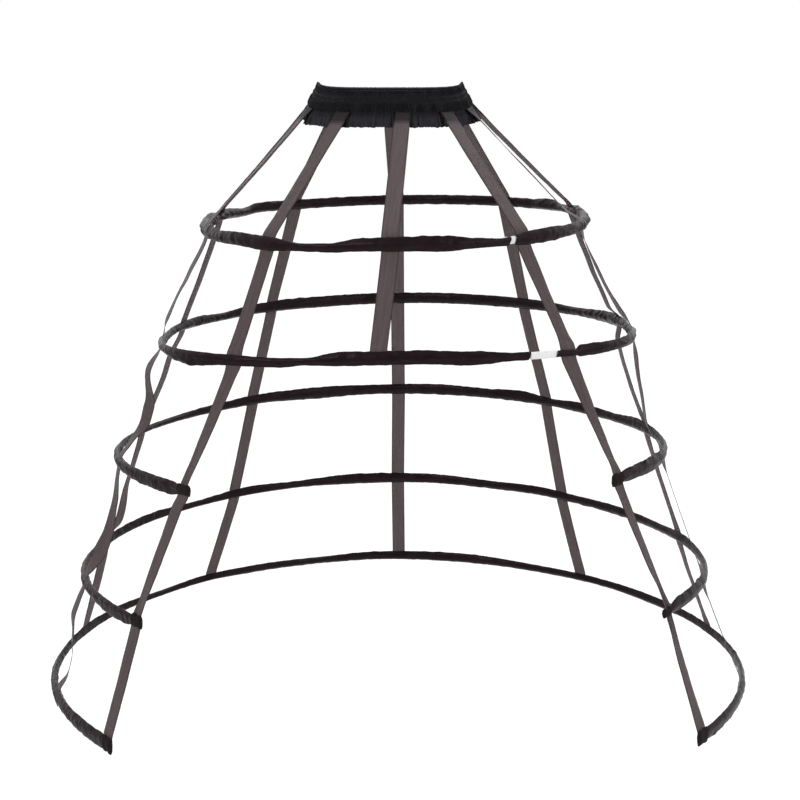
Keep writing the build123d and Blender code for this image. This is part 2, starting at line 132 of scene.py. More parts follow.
# %% Angles of the ten tapes
tape_angles = {
    "front_centre": [9, -1, -4],
    "front_right": [42, 37, 37, 53.5, 56.5, 56],
    "side_front_right": [72, 68, 74, 77, 76, 78],
    "side_back_right": [100, 107, 98, 102, 103.5, 104.5],
    "back_right": [128, 141.5, 140, 138.4, 140.2, 140.5],
    "back_centre": [180, 179.5, 180, 178.5, 179.5, 180],
    "back_left": [-140, -145, -140, -142.7, -141.5, -139],
    "side_back_left": [-104, -108, -102.5, -104.5, -101, -103],
    "side_front_left": [-74, -70, -77, -76.5, -77, -74],
    "front_left": [-33, -36, -35, -46, -51, -52],
}
tape_width = 25.0 * mm
tape_thickness = 0.6 * mm


def crossings(hoop):
    """Tape names and angles on one hoop."""
    reached = hoop + 1
    return {tape: angles[reached] for tape, angles in tape_angles.items() if len(angles) > reached}


print("tapes on each hoop:", [len(crossings(hoop)) for hoop in range(5)])

# %% [markdown]
# ## One helper for every cloth surface
#
# A casing, a tape and the band are all strips of cloth, bent and puckered in different ways. Such
# a surface could be a simulated sheet. Here a plain grid is made with a bmesh operator and each
# of its points is carried to its place, because a gathered tube has too many small puckers for a
# simulation to settle in a short time, and this way the puckers stay where the real ones are. The
# UV map is written first, in metres, so that a weave keeps its size wherever the cloth goes.

# %% Grid of cloth carried to its place
merge_distance = 0.01 * mm


def cloth_grid(name, columns, rows, size, place):
    """Object whose grid point number (column, row) lies at place(column, row)."""
    bm = bmesh.new()
    bmesh.ops.create_grid(bm, x_segments=columns, y_segments=rows, size=0.5)
    uv = bm.loops.layers.uv.new("cloth")
    # The flat grid reaches from -0.5 to 0.5 each way.
    for face in bm.faces:
        for loop in face.loops:
            across, along = loop.vert.co.x + 0.5, loop.vert.co.y + 0.5
            loop[uv].uv = (across * size[0], along * size[1])
    for vert in bm.verts:
        vert.co = place(round((vert.co.x + 0.5) * columns), round((vert.co.y + 0.5) * rows))
    bmesh.ops.remove_doubles(bm, verts=bm.verts, dist=merge_distance)
    bmesh.ops.recalc_face_normals(bm, faces=bm.faces)
    for face in bm.faces:
        face.smooth = True
    mesh = bpy.data.meshes.new(name)
    bm.to_mesh(mesh)
    bm.free()
    piece = bpy.data.objects.new(name, mesh)
    bpy.context.scene.collection.objects.link(piece)
    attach(piece, "root")
    return piece


def wander(*place):
    """Smooth noise from -1 to 1."""
    return noise.noise(Vector((*place, 0, 0)[:3]))


def eased(points, part, first=0, last=0):
    """Value at a share of a stretch, eased between the given ones and those at both ends."""
    points = [(0, first)] + points + [(1, last)]
    for (start, low), (end, high) in zip(points, points[1:]):
        if part <= end:
            share = (part - start) / (end - start)
            return low + (high - low) * share * share * (3 - 2 * share)
    return last


print("noise at rest:", round(wander(0.3, 0.4), 3))

# %% [markdown]
# ## Nodes for the finishes
#
# Colours are written as the hex values that an artist reads off a screen, and Blender's shaders
# work in linear light, so one function turns one into the other. A second small function adds a
# node with its settings and its links, which keeps each finish short.

# %% Helpers for colours and nodes
def srgb(text):
    """Linear colour from a hex value."""
    values = [int(text[at:at + 2], 16) / 255 for at in (0, 2, 4)]
    return [v / 12.92 if v <= 0.04045 else ((v + 0.055) / 1.055) ** 2.4 for v in values] + [1.0]


def add_node(tree, kind, settings=None, links=None, **properties):
    """New node with its properties, its socket values and what feeds its sockets."""
    node = tree.nodes.new(kind)
    for name, value in properties.items():
        setattr(node, name, value)
    for socket, value in (settings or {}).items():
        node.inputs[socket].default_value = value
    for socket, output in (links or {}).items():
        tree.links.new(output, node.inputs[socket])
    return node


def new_finish(name, **settings):
    """Material and its node tree, with a Principled shader that has these settings."""
    finish = bpy.data.materials.new(name)
    finish.use_nodes = True
    finish.node_tree.nodes.clear()
    shader = add_node(finish.node_tree, "ShaderNodeBsdfPrincipled", settings)
    add_node(finish.node_tree, "ShaderNodeOutputMaterial", links={"Surface": shader.outputs[0]})
    return finish, finish.node_tree, shader


def two_colours(tree, shader, height, low, high):
    """Base colour that runs from one hex value to another as a height goes from 0 to 1."""
    ramp = add_node(tree, "ShaderNodeValToRGB", links={"Fac": height})
    ramp.color_ramp.elements[0].color = srgb(low)
    ramp.color_ramp.elements[1].color = srgb(high)
    tree.links.new(ramp.outputs["Color"], shader.inputs["Base Color"])
    return ramp


def finish_piece(piece, finish, slot, *replaced):
    """Gives a piece its material and hides the solids that it stands for."""
    piece.data.materials.clear()
    piece.data.materials.append(finish)
    if replaced:
        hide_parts(*replaced)


print("near black as light:", [round(v, 4) for v in srgb("1c1618")[:3]])

# %% [markdown]
# ## Camera
#
# The picture is taken from the front, a little above the waist, looking down eleven degrees. It
# comes before the pieces so that each of them can be tried in the same view.

# %% Camera at the real viewing angle
camera_data = bpy.data.cameras.new("camera")
camera_data.sensor_width = 36
camera_data.lens = 69.75
camera = bpy.data.objects.new("camera", camera_data)
camera.location = (0.0156, -2.474, -0.0285)
camera.rotation_euler = (math.radians(79.05), 0, 0)
bpy.context.scene.collection.objects.link(camera)
bpy.context.scene.camera = camera
print("camera lens:", camera_data.lens, "mm")

# %% [markdown]
# ## Casing cloth
#
# The casings are black polyester satin, woven and then gathered along the bone. Satin scatters
# light in a wide soft highlight, and each small fold catches it along its crest. The gloss is low
# and faintly plum, because the dye is nearly black and the folds shade one another. The threads
# are about 0.2 mm apart, too fine to show here, so the weave is drawn at 0.9 mm. Soft streaks,
# some 5 mm apart, run along the tube where the cloth is pulled, over the folds in the mesh.
# Every pattern on cloth is sized in one function, so that its grain can be given in real lengths.

# %% Black gathered satin
def cloth_pattern(tree, grain, detail=2.0, kind="ShaderNodeTexNoise", settings=None, **properties):
    """Height of a pattern on the cloth's map, with grains of this size in metres each way."""
    cloth_map = add_node(tree, "ShaderNodeUVMap", uv_map="cloth")
    sized = add_node(tree, "ShaderNodeMapping", {"Scale": (1 / grain[0], 1 / grain[1], 1)},
                     {"Vector": cloth_map.outputs[0]})
    settings = {"Scale": 1.0, "Detail": detail, **(settings or {})}
    pattern = add_node(tree, kind, settings, {"Vector": sized.outputs[0]}, **properties)
    return pattern.outputs["Fac"]


def raise_surface(tree, shader, *layers):
    """Relief of several heights, each with its depth in metres and strength, one on the other."""
    last = None
    for height, depth, strength in layers:
        links = {"Height": height}
        if last:
            links["Normal"] = last.outputs[0]
        last = add_node(tree, "ShaderNodeBump", {"Distance": depth, "Strength": strength}, links)
    tree.links.new(last.outputs[0], shader.inputs["Normal"])


satin, tree, shader = new_finish("black polyester satin", **{
    "Roughness": 0.28, "IOR": 1.5, "Specular IOR Level": 0.1, "Specular Tint": srgb("ffe8f0")})
streaks = cloth_pattern(tree, (30 * mm, 5 * mm))
weave = cloth_pattern(tree, (0.9 * mm, 0.9 * mm), 1.0)
two_colours(tree, shader, streaks, "0b0809", "291d21")
raise_surface(tree, shader, (streaks, 1.0 * mm, 0.5), (weave, 0.12 * mm, 0.25))
print("satin nodes:", len(tree.nodes))

# %% [markdown]
# ## The five casings
#
# A casing is a flat cloth tube. The bone fills its middle, and the two edges above and below
# stand free and ruffle. The tube is drawn over a bone that is shorter than the cloth, so puckers
# run across it, and its height changes from one fold to the next. The table gives the angle of
# each fold and how far it reaches above and below the line of the hoop, in millimetres, read from
# the real casings. A closed hoop's casing narrows to a neck at its gap, and an open one's narrows
# into its wraps.

# %% Folds of the casings
casing_folds = [
    [(-150, 9, 8), (-130, 11.5, 6), (-122, 6, 9), (-112, 11, 7.5), (-104, 9, 7), (-97, 13, 7),
     (-84, 13, 8), (-72, 13.5, 9), (-60, 9, 8), (-48, 12.5, 7), (-37, 11, 9.5), (-25, 4, 7.5),
     (-18, 5, 8), (-8, 13, 6), (5, 14, 7), (14, 13.5, 9), (22, 8, 7), (29, 4.8, 7), (40, 10.5, 9),
     (48, 11.5, 9), (56, 9, 8), (70, 9, 9), (84, 10, 8), (97, 12, 7), (113, 7, 6), (120, 13, 7),
     (130, 9, 8), (150, 9, 8)],
    [(-160, 12, 9), (-145, 14, 7), (-134, 12.5, 6), (-121, 6.5, 7.5), (-110, 10, 7.5),
     (-95, 7.5, 6), (-62, 8, 5.5), (-46, 8.5, 12.5), (-37, 8, 8), (-25, 5, 9), (-20, 5, 6),
     (-12, 13, 7.5), (5, 13, 7), (16, 10, 10), (26, 6, 6), (43, 10.5, 7), (52, 9, 6), (66, 11, 7),
     (85, 8, 8), (102, 10, 12), (120, 5, 10), (134, 9, 10), (150, 10, 10), (172, 11, 9.5)],
    [(-175, 9, 10.5), (-162, 11, 12.5), (-144, 12, 7), (-130, 8, 7), (-115, 5, 6.5), (-103, 5, 5),
     (-92, 6.5, 7), (-75, 6, 10.5), (-56, 8.5, 12), (60, 12, 8), (68, 13, 9.5), (86, 8, 8),
     (105, 13, 9.5), (116, 6.5, 10), (128, 10, 10), (136, 6.5, 8.5), (146, 13, 9.5), (156, 9, 10),
     (168, 11, 10.5)],
    [(-172, 12.5, 9.5), (-157, 8, 6.5), (-145, 12.5, 5.5), (-131, 7, 5.5), (-117, 12, 5.5),
     (-90, 7, 10), (-74, 7, 9), (-58, 7, 12), (60, 13, 7), (68, 14, 7), (86, 8, 9), (101, 11, 10),
     (111, 5.5, 11), (125, 8, 10.5), (136, 7, 10), (146, 9.5, 8.5), (158, 6.5, 10.5),
     (173, 11.5, 8.5)],
    [(-176, 10, 8.5), (-163, 5, 10), (-149, 7, 9), (-138, 9, 5.5), (-127, 5, 7), (-112, 11, 5.5),
     (-104, 13, 5.5), (-90, 9, 7), (-70, 9, 10), (-57, 11, 11), (60, 9, 10), (72, 10, 9),
     (92, 12, 7), (108, 10, 7), (122, 8.5, 10), (134, 7.5, 8), (150, 5.5, 10), (168, 10.5, 10)],
]
into_wrap = 3 * mm
casing_gap = [10 * mm, 41 * mm]
gap_from_tape = [14 * mm, 19 * mm]
neck_length = [0, 36 * mm]
neck_half = 4.8 * mm
neck_blend = 6 * mm
mouth_length = 38 * mm
mouth_shares = {(2, "left"): 0.62, (2, "right"): 0.7, (3, "left"): 0.7, (3, "right"): 0.42,
                (4, "left"): 0.95, (4, "right"): 0.82}


def casing_ends(hoop):
    """Angles at which a casing starts and ends; a closed hoop's starts right of its small gap."""
    if hoop in closed_hoops:
        start = walk(hoop, tape_angles["front_right"][hoop + 1], -gap_from_tape[hoop])
        return start, walk(hoop, start, -casing_gap[hoop]) + 360
    start = walk(hoop, tape_angles["front_right"][hoop + 1], into_wrap)
    return start, walk(hoop, tape_angles["front_left"][hoop + 1], -into_wrap) + 360


def casing_edges(hoop, angle, from_start):
    """How far a casing reaches below and above the hoop's line, eased from fold to fold."""
    turn = (angle + 180) % 360 - 180
    folds = casing_folds[hoop]
    before = max((fold for fold in folds if fold[0] <= turn), default=folds[-1])
    after = min((fold for fold in folds if fold[0] > turn), default=folds[0])
    share = ((turn - before[0]) % 360) / ((after[0] - before[0]) % 360)
    share *= share * (3 - 2 * share)
    rise, fall = (before[edge] * (1 - share) + after[edge] * share for edge in (1, 2))
    if hoop in closed_hoops:
        full = min(max((from_start - neck_length[hoop]) / neck_blend + 0.5, 0), 1)
        return [neck_half + (reach * mm - neck_half) * full for reach in (fall, rise)]
    side = "right" if turn > 0 else "left"
    past_tape = math.radians(abs(turn) - abs(tape_angles["front_" + side][hoop + 1]))
    share = min(max(past_tape * hoop_half_width[hoop] * mm / mouth_length, 0), 1)
    grown = eased([], share, mouth_shares[hoop, side], 1)
    return [reach * mm * grown for reach in (fall, rise)]


print("casing of the top hoop runs from", rounded(casing_ends(0)), "degrees")

# %% [markdown]
# ### Folds, ribs and streaks
#
# At every station along a hoop the tube is a flat lens, fuller on its inner side, because the
# bone is bent in short straight runs and needs room there. Its edges swing in and out as ruffles,
# but not where a tape comes through, because there the stitching holds them flat. Three kinds of
# relief lie on its faces: big slanted folds at the sides of the small hoops, where the cloth
# bunches, fine ribs at the left of the large hoops, and long soft streaks everywhere. They fade
# out towards the edges, which are sewn and stay smooth. The top hoop's cloth also bunches inside
# its two side ends. The lists give each hoop's share of each kind, from the top hoop down.

# %% Sizes of a casing and its relief
station_spacing = 1.2 * mm
points_round = 24
lens_edge = 1.0 * mm
lens_middle = 1.9 * mm
bone_half = 3.6 * mm
inner_room = 2.8 * mm
tape_room = 1.0 * mm
edge_lean = 0.3
hold_reach = 18 * mm
hold_share = 0.85
ruffle_depth = 1.5 * mm
ruffle_reach, ruffle_most = 6 * mm, 1.3
fold_depth = 4.5 * mm
rib_depth = 3.2 * mm
streak_depth = 1.6 * mm
left_folds, right_folds = [1.7, 1.5, 0.35, 0.6, 0.3], [1.7, 1.3, 0.3, 0.2, 0.2]
left_bunch, right_bunch = [7, 0, 0, 0, 0], [5, 0, 0, 0, 0]
left_ribs, right_ribs = [0.05, 0.1, 1.0, 0.8, 1.0], [0.05, 0.08, 0.08, 0.08, 0.08]
ribs_behind = 0.4
folds_in_front = 0.15
slant_lean, slant_swing = 0.6, 2.2
# Lengths of the waves in millimetres: along the hoop, and for a relief also up its face.
long_ruffle, short_ruffle = 24, 11
long_crimp, short_crimp = 15, 6
slant_length = 50
fold_size, rib_size, streak_size = (17, 12), (3.6, 30), (34, 3.2)
print("points round a casing:", points_round, "every", station_spacing / mm, "mm")

# %% One section of a casing
def tape_hold(hoop, angle):
    """1 where a tape passes through the casing, falling to 0 at some distance from it."""
    nearest = min(abs((angle - at + 180) % 360 - 180) for at in crossings(hoop).values())
    distance = math.radians(nearest) * hoop_half_width[hoop] * mm
    return 1 - min(max((distance - tape_width / 2) / hold_reach, 0), 1)


def casing_station(hoop, angle, distance):
    """All that stays the same round one section of a casing."""
    place, along, outward, upward = hoop_frame(hoop, angle)
    below, above = casing_edges(hoop, angle, distance)
    held = tape_hold(hoop, angle)
    free = 1 - hold_share * held
    line = distance / mm
    # The seed and the small whole numbers only pick different stretches of the noise.
    seed = 40 * hoop
    ruffles = [ruffle_depth * free * (wander(line / long_ruffle, seed, edge)
                                      + 0.4 * wander(line / short_ruffle, seed + 9, edge))
               for edge in (3, 8)]
    crimp = [1 + 0.10 * wander(line / long_crimp, seed, edge)
             + 0.03 * wander(line / short_crimp, seed, edge) for edge in (15, 21)]
    aside = math.sin(math.radians(angle))
    at_side = aside ** 6
    folds = (right_folds if aside > 0 else left_folds)[hoop] * (folds_in_front + 0.85 * at_side)
    in_front = math.cos(math.radians(angle)) > 0
    ribs = (right_ribs if aside > 0 else left_ribs)[hoop] * aside ** 2 * (1 if in_front else ribs_behind)
    slant = slant_swing * wander(line / slant_length, seed + 30) + slant_lean
    middle = lens_middle + tape_room * held
    bunch = inner_room + (right_bunch if aside > 0 else left_bunch)[hoop] * mm * at_side
    return (place, along, outward, upward, below * crimp[0], above * crimp[1], ruffles, line, seed,
            folds, ribs, slant, middle, bunch)


print("at its right end the top casing reaches", rounded(casing_edges(0, 90, 1)), "m down and up")

# %% Any point of a section
def casing_point(station, turn, shrink=1.0, skew=0.0):
    """Point at a share of the way round a section, starting at its lower edge."""
    (place, along, outward, upward, below, above, ruffles, line, seed,
     folds, ribs, slant, middle, bunch) = station
    height, side = -math.cos(2 * math.pi * turn), math.sin(2 * math.pi * turn)
    lift = height * (above if height > 0 else below)
    level = lift / mm
    across = line + slant * level
    face = seed + (70 if side < 0 else 50)
    relief = (folds * fold_depth * abs(wander(across / fold_size[0], face, level / fold_size[1]))
              + ribs * rib_depth * abs(wander(across / rib_size[0], face + 5, level / rib_size[1]))
              + streak_depth * abs(wander(line / streak_size[0], face + 9, level / streak_size[1])))
    out = side * (lens_edge + (middle + (bunch if side < 0 else 0)) * abs(side))
    out += math.copysign(relief * side * side, side)
    beyond = max(abs(lift) - bone_half, 0)
    out += ruffles[height > 0] * min(beyond / ruffle_reach, ruffle_most) ** 2
    out -= math.copysign(beyond * edge_lean, lift)
    return place + (outward * out + upward * lift) * shrink + along * skew * lift


print("lower edge of a section:", rounded(casing_point(casing_station(0, 90, 1), 0)))

# %% [markdown]
# ### From sections to tubes
#
# A casing's end isn't cut off flat: its cloth is turned in, so the first and the last sections
# of the grid run back inside the tube and narrow. The mouths of the closed hoops lean a little,
# as a gathered end does.

# %% Build the casings
turned_in = 7 * mm
turned_shares = (0.6, 0.72, 0.86)
mouth_lean = 0.35
lean_stations = 14
casing_girth = 44 * mm
for hoop in range(5):
    start, end = casing_ends(hoop)
    angles = stations(hoop, start, end, station_spacing)
    rings = [casing_station(hoop, angle, number * station_spacing)
             for number, angle in enumerate(angles)]
    skew = mouth_lean if hoop in closed_hoops else 0.0
    turned = list(zip((round(turned_in / station_spacing), 1, 0), turned_shares))
    order = [(rings[at], share, skew) for at, share in turned]
    order += [(ring, 1.0, skew * max(0, 1 - min(number, len(rings) - number) / lean_stations))
              for number, ring in enumerate(rings[1:-1])]
    order += [(rings[-1 - at], share, skew) for at, share in reversed(turned)]
    length = len(angles) * station_spacing
    casing = cloth_grid(
        "casing_" + str(hoop + 1), len(order) - 1, points_round, (length, casing_girth),
        lambda column, row: casing_point(order[column][0], row / points_round % 1, *order[column][1:]))
    finish_piece(casing, satin, "casing_satin", "hoop_casing_" + str(hoop + 1))
    print(casing.name, "faces:", len(casing.data.polygons), "length:", round(length, 3), "m")

# %% [markdown]
# ## Woven tapes
#
# The tapes are plain-woven nylon, 25 mm wide and 0.6 mm thick, in a plum grey. Nylon is smooth
# and a little translucent, so the tape has a faint gloss, a trace of sheen from the fibres that
# stand off it, and light that spreads inside it. Fine streaks run along it. Its threads cross it
# about 0.3 mm apart, far too fine to show, so they are drawn as faint soft ribs 7 mm apart. The
# tape is darker along both edges, where the weft turns back and makes it thick. At its top, where
# it lies on the black frill, its colour is painted nearly black. That is painted shade, for the dark
# frill seen through the thin tape; the change takes some 12 mm.

# %% Plum grey woven tape
def cloth_reach(tree):
    """Outputs with the distance in metres across a cloth, X, and along it, Y."""
    cloth_map = add_node(tree, "ShaderNodeUVMap", uv_map="cloth")
    return add_node(tree, "ShaderNodeSeparateXYZ", links={0: cloth_map.outputs[0]}).outputs


tape_cloth, tree, shader = new_finish("plum grey woven nylon tape", **{
    "Roughness": 0.42, "IOR": 1.5, "Specular IOR Level": 0.08, "Sheen Weight": 0.03,
    "Sheen Roughness": 0.25, "Sheen Tint": srgb("fff4f4"), "Subsurface Weight": 0.09,
    "Subsurface Radius": (1.0, 0.85, 0.9), "Subsurface Scale": 10 * mm})
wave_size = 22 * mm  # a wave texture repeats after 0.314 of its unit
threads = cloth_pattern(tree, (wave_size, wave_size), 1.0, "ShaderNodeTexWave",
                        {"Distortion": 1.2}, bands_direction="Y")
streaks = cloth_pattern(tree, (3 * mm, 80 * mm))
ramp = two_colours(tree, shader, streaks, "372f30", "564a4b")
reach = cloth_reach(tree)
off_middle = add_node(tree, "ShaderNodeMath", {1: tape_width / 2}, {0: reach["X"]},
                      operation="SUBTRACT")
off_middle = add_node(tree, "ShaderNodeMath", links={0: off_middle.outputs[0]},
                      operation="ABSOLUTE")
inside_edge = add_node(tree, "ShaderNodeMapRange",
                       {"From Min": 12.3 * mm, "From Max": 10.6 * mm, "To Min": 0.35},
                       {"Value": off_middle.outputs[0]})
# Painted shade: the colour goes nearly black over the tape's first 20 to 32 mm, where it lies on the
# black frill.
painted_frill_shade = add_node(tree, "ShaderNodeMapRange",
                      {"From Min": 20 * mm, "From Max": 32 * mm, "To Min": 0.06},
                      {"Value": reach["Y"]})
# The darker edges multiplied by the painted shade at the top.
edge_and_painted_shade = add_node(tree, "ShaderNodeMath", links={0: inside_edge.outputs[0], 1: painted_frill_shade.outputs[0]},
               operation="MULTIPLY")
# Mixes the tape's colour towards near-black 120c0e at its darker edges and in the painted shade at its
# top.
tape_colour_with_painted_shade = add_node(tree, "ShaderNodeMix", {6: srgb("120c0e")},
                {0: edge_and_painted_shade.outputs[0], 7: ramp.outputs["Color"]}, data_type="RGBA")
tree.links.new(tape_colour_with_painted_shade.outputs[2], shader.inputs["Base Color"])
raise_surface(tree, shader, (threads, 0.2 * mm, 0.1))
print("tape nodes:", len(tree.nodes))

# %% [markdown]
# ### From the band to the lowest hoop
#
# A tape is taut at the front and the back, where it carries weight, and slack at the sides, where
# it twists and sags. Between two hoops its middle hangs a few millimetres low. Inside a casing it
# stands upright. The line is sampled finely and then evened out, which rounds each bend as a
# stiff tape rounds it. The band comes first, as a flared oval that dips at the front and the
# back, because every tape starts on its lowest stitches.

# %% Sizes of the band, which the tapes start from
waist_half = (113 * mm, 85 * mm)
band_flare = (16 * mm, 13 * mm)
band_height = 34 * mm
frill_height = 21 * mm
frill_flare = 9 * mm
front_dip = 14 * mm
back_dip = 8 * mm
dip_roundness = 2.5


def band_place(angle, drop, offset):
    """Point on the flared band, a distance below its top edge and outside its plain surface."""
    turn = math.radians(angle)
    flare = min(drop / band_height, 1)
    half_width = waist_half[0] + band_flare[0] * flare
    half_depth = waist_half[1] + band_flare[1] * flare
    face_on = math.cos(turn)
    dip = (front_dip if face_on > 0 else back_dip) * (1 - (1 - abs(face_on)) ** dip_roundness)
    outward = Vector((math.sin(turn) / half_width, -math.cos(turn) / half_depth, 0)).normalized()
    below = max(drop - band_height, 0) / frill_height
    place = Vector((half_width * math.sin(turn), -half_depth * math.cos(turn), -drop - dip))
    return place + outward * (offset + frill_flare * below)


print("seam of the band at the front:", rounded(band_place(0, band_height, 0)))

# %% [markdown]
# ### Sag, bow and twist
#
# Each table names a tape and the hoop at the lower end of a stretch. Sag is how far its middle
# hangs low, and bow is how far it swings in or out, in millimetres. Twist is in degrees, and a
# pleat is the share of its width that a tape shows just above and below a wrap. Bow and twist are
# given in pairs: a share of the way down, and the value there.

# %% How each slack stretch hangs
tape_sag = {
    "side_front_right": [2, 12, 12, 3, 3],
    "side_back_right": [2, 3, 8, 3, 3],
    "side_back_left": [2, 4, 2, 10, 3],
    "side_front_left": [2, 5, 8, 14, 5],
}
tape_bow = {
    ("side_front_left", 1): [(0.35, 4), (0.55, 7), (0.85, 6)],
    ("side_front_left", 2): [(0.2, 9), (0.48, -12), (0.64, -15), (0.82, -6)],
    ("side_front_left", 3): [(0.25, -7), (0.48, -10), (0.74, -7)],
    ("side_front_left", 4): [(0.1, 4), (0.26, 7), (0.48, -1), (0.66, -8), (0.83, -9)],
    ("front_left", 3): [(0.1, 4), (0.4, 3)],
    ("side_back_left", 2): [(0.23, 4), (0.5, 0)],
    ("side_back_left", 3): [(0.4, 0), (0.8, -9)],
    ("side_back_right", 1): [(0.3, -3), (0.6, -6), (0.93, -8)],
    ("side_back_right", 2): [(0.07, -8), (0.26, -7), (0.55, -5), (0.9, -2)],
    ("side_front_right", 0): [(0.5, -2), (0.9, -5)],
    ("side_front_right", 2): [(0.35, -5), (0.71, -10)],
}
tape_twist = {
    ("side_front_left", 0): [(0.15, -10), (0.8, -11)],
    ("side_front_left", 1): [(0.3, 4), (0.55, 3), (0.8, 10)],
    ("side_front_left", 2): [(0.08, 10), (0.2, 20), (0.5, 38), (0.62, 32), (0.78, 6), (0.9, -2)],
    ("side_front_left", 3): [(0.25, 10), (0.5, 28), (0.68, 45), (0.85, 20)],
    ("side_front_left", 4): [(0.1, 4), (0.26, 6), (0.45, -2), (0.62, -10), (0.8, -12)],
    ("side_back_left", 3): [(0.4, 4), (0.7, -10), (0.9, -14)],
    ("side_back_left", 4): [(0.1, -12), (0.4, -12), (0.8, -4)],
    ("side_back_right", 1): [(0.2, 1), (0.8, 0)],
    ("side_back_right", 2): [(0.2, -3), (0.8, -3)],
    ("side_back_right", 3): [(0.2, -4), (0.8, -4)],
    ("side_back_right", 4): [(0.2, -5), (0.8, -6)],
    ("side_front_right", 0): [(0.12, 18), (0.5, 21), (0.8, 18), (0.93, 5)],
    ("side_front_right", 1): [(0.08, 16), (0.3, 20), (0.5, 17), (0.8, 20)],
    ("side_front_right", 2): [(0.1, 14), (0.9, 15)],
    ("side_front_right", 3): [(0.1, 13), (0.9, 12)],
    ("side_front_right", 4): [(0.1, 11), (0.9, 11)],
    ("front_left", 0): [(0.3, -6), (0.8, -6)],
    ("front_left", 1): [(0.1, -6), (0.5, -9), (0.9, -9)],
    ("front_left", 2): [(0.06, -14), (0.35, -15), (0.75, -16), (0.92, -8)],
    ("front_left", 3): [(0.5, -5), (0.85, -10)],
    ("front_right", 1): [(0.15, 2), (0.5, 14), (0.9, 17)],
    ("front_right", 2): [(0.2, 8), (0.6, 16), (0.9, 16)],
    ("front_right", 3): [(0.1, 6), (0.5, 12), (0.9, 18)],
    ("front_right", 4): [(0.3, 10), (0.6, 8)],
}
tape_pleat = {("front_left", 2): (0.68, 1), ("front_left", 3): (0.85, 1),
              ("front_right", 2): (0.85, 0.9), ("front_right", 3): (0.42, 0.5)}
usual_sag = 1.5
pleat_reach = 75 * mm
print("stretches with a twist:", len(tape_twist))

# %% Places where a tape bends
stub_tapes = ["side_front_right", "side_front_left"]
tucked = 3 * mm
off_band = 0.3 * mm
off_casing = 1 * mm
stub_drop, end_drop = 4, 3  # millimetres


def tape_stops(tape):
    """Places where a tape bends: the seam of the band, then above and below each hoop it passes."""
    angle = tape_angles[tape][0]
    seam = band_place(angle, band_height - tucked, off_band)
    seam_along = (band_place(angle + 1, band_height - tucked, off_band) - seam).normalized()
    stops = [(seam, seam_along, 0)]
    last = len(tape_angles[tape]) - 2
    for hoop in range(last + 1):
        angle = tape_angles[tape][hoop + 1]
        place, along, outward, upward = hoop_frame(hoop, angle)
        below, above = casing_edges(hoop, angle, 1)
        above_place = place + upward * (above + off_casing) - outward * (above - bone_half) * edge_lean
        below_place = place - upward * (below + off_casing) + outward * (below - bone_half) * edge_lean
        stops.append((above_place, along, hoop))
        if hoop < last:
            stops.append((below_place, along, hoop))
        elif tape in stub_tapes:
            stops.append((below_place - upward * stub_drop * mm, along, hoop))
        else:
            stops.append((place - upward * end_drop * mm, along, hoop))
    return stops


print("bends of the back centre tape:", len(tape_stops("back_centre")))

# %% Line and width of one tape
step = 4 * mm
evening_rounds = 3


def tape_share(tape, point):
    """Share of its full width that a tape shows at a point, less where it is pleated into a wrap."""
    share = 1
    for (name, hoop), pleats in tape_pleat.items():
        if name == tape:
            away = point - hoop_point(hoop, tape_angles[tape][hoop + 1])
            pleat = pleats[0] if away.z > 0 else pleats[1]
            share *= eased([], min(away.length / pleat_reach, 1), pleat, 1)
    return share


def tape_line(tape):
    """Centre points and width directions of a tape, a step apart."""
    stops = tape_stops(tape)
    sags = tape_sag.get(tape, [usual_sag] * 5)
    centres, widths = [], []
    stretches = zip(stops, stops[1:])
    for number, ((start, across, _), (end, next_across, hoop)) in enumerate(stretches):
        hangs = number % 2 == 0
        count = max(2, round((end - start).length / step))
        for part in (i / count for i in range(count)):
            centre = start.lerp(end, part)
            width = across.lerp(next_across, part).normalized()
            if hangs:
                run = (end - start).normalized()
                normal = width.cross(run).normalized()
                bow = eased(tape_bow.get((tape, hoop), []), part)
                centre -= up * (4 * sags[hoop] * mm * part * (1 - part)) + normal * bow * mm
                swing = math.radians(eased(tape_twist.get((tape, hoop), []), part))
                width = width * math.cos(swing) + normal * math.sin(swing)
            centres.append(centre)
            widths.append(width)
    centres.append(stops[-1][0])
    widths.append(stops[-1][1])
    for _ in range(evening_rounds):
        centres[1:-1] = [(a + b * 2 + c) / 4
                         for a, b, c in zip(centres, centres[1:], centres[2:])]
        widths[1:-1] = [(a + b * 2 + c).normalized()
                        for a, b, c in zip(widths, widths[1:], widths[2:])]
    return centres, widths


print("back centre tape has", len(tape_line("back_centre")[0]), "stations")

# %% Build the tapes
tape_columns = 6
long_cup, short_cup = (0.5 * mm, 38 * mm), (0.25 * mm, 9 * mm)  # depth and length
pleat_cup = 5  # millimetres
for tape in tape_angles:
    centres, widths = tape_line(tape)
    shares = [tape_share(tape, centre) for centre in centres]
    seed = len(tape) * 7 + tape_angles[tape][0]

    def tape_point(column, row):
        """Point of the tape's cloth, slightly cupped."""
        across = column / tape_columns - 0.5
        run = centres[min(row + 1, len(centres) - 1)] - centres[max(row - 1, 0)]
        normal = widths[row].cross(run).normalized()
        cup = (long_cup[0] * wander(row * step / long_cup[1], seed)
               + short_cup[0] * wander(row * step / short_cup[1], seed, column))
        cup += (1 - shares[row]) * pleat_cup * mm
        return (centres[row] + widths[row] * across * tape_width * shares[row]
                + normal * cup * (1 - 8 * across * across))

    strap = cloth_grid("strap_" + tape, tape_columns, len(centres) - 1,
                       (tape_width, (len(centres) - 1) * step), tape_point)
    wall = strap.modifiers.new("wall", "SOLIDIFY")
    wall.thickness = tape_thickness
    wall.offset = 0
    finish_piece(strap, tape_cloth, "tape", "tape_" + tape)
    print(strap.name, "length:", round((len(centres) - 1) * step, 3), "m")
